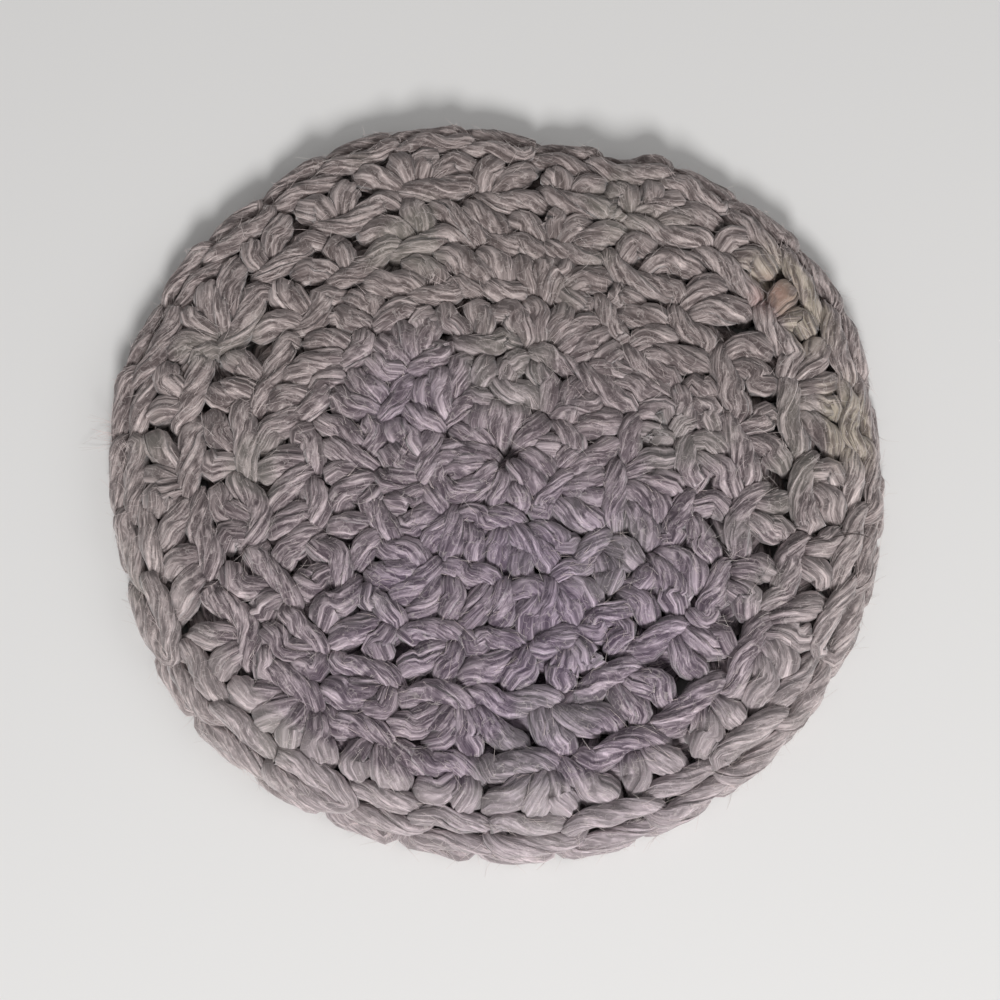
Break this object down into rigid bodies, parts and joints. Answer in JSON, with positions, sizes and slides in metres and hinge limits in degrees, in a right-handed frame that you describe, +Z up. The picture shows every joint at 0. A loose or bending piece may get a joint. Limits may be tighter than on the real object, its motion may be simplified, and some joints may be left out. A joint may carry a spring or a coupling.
{
  "type": "crochet scrubber",
  "caption": "Flat round scrubber crocheted in thick soft cotton yarn: rounds of single crochet grow from a closed centre to a braided chain rim; for washing up or wiping.",
  "frame": {"origin": "centre of the bounding box of the disc, at the level of the surface that it lies on", "axes": "+Z up out of the right side of the crochet, +Y towards the far edge in the picture's view, +X to the right"},
  "size_m": [0.0878, 0.0896, 0.0057],
  "materials": {
    "cotton_yarn": "soft heathered grey-taupe cotton yarn with lilac patches, slightly fuzzy, matt"
  },
  "bodies": {
    "root": {"crochet_disc": "cotton_yarn"}
  },
  "joints": []
}
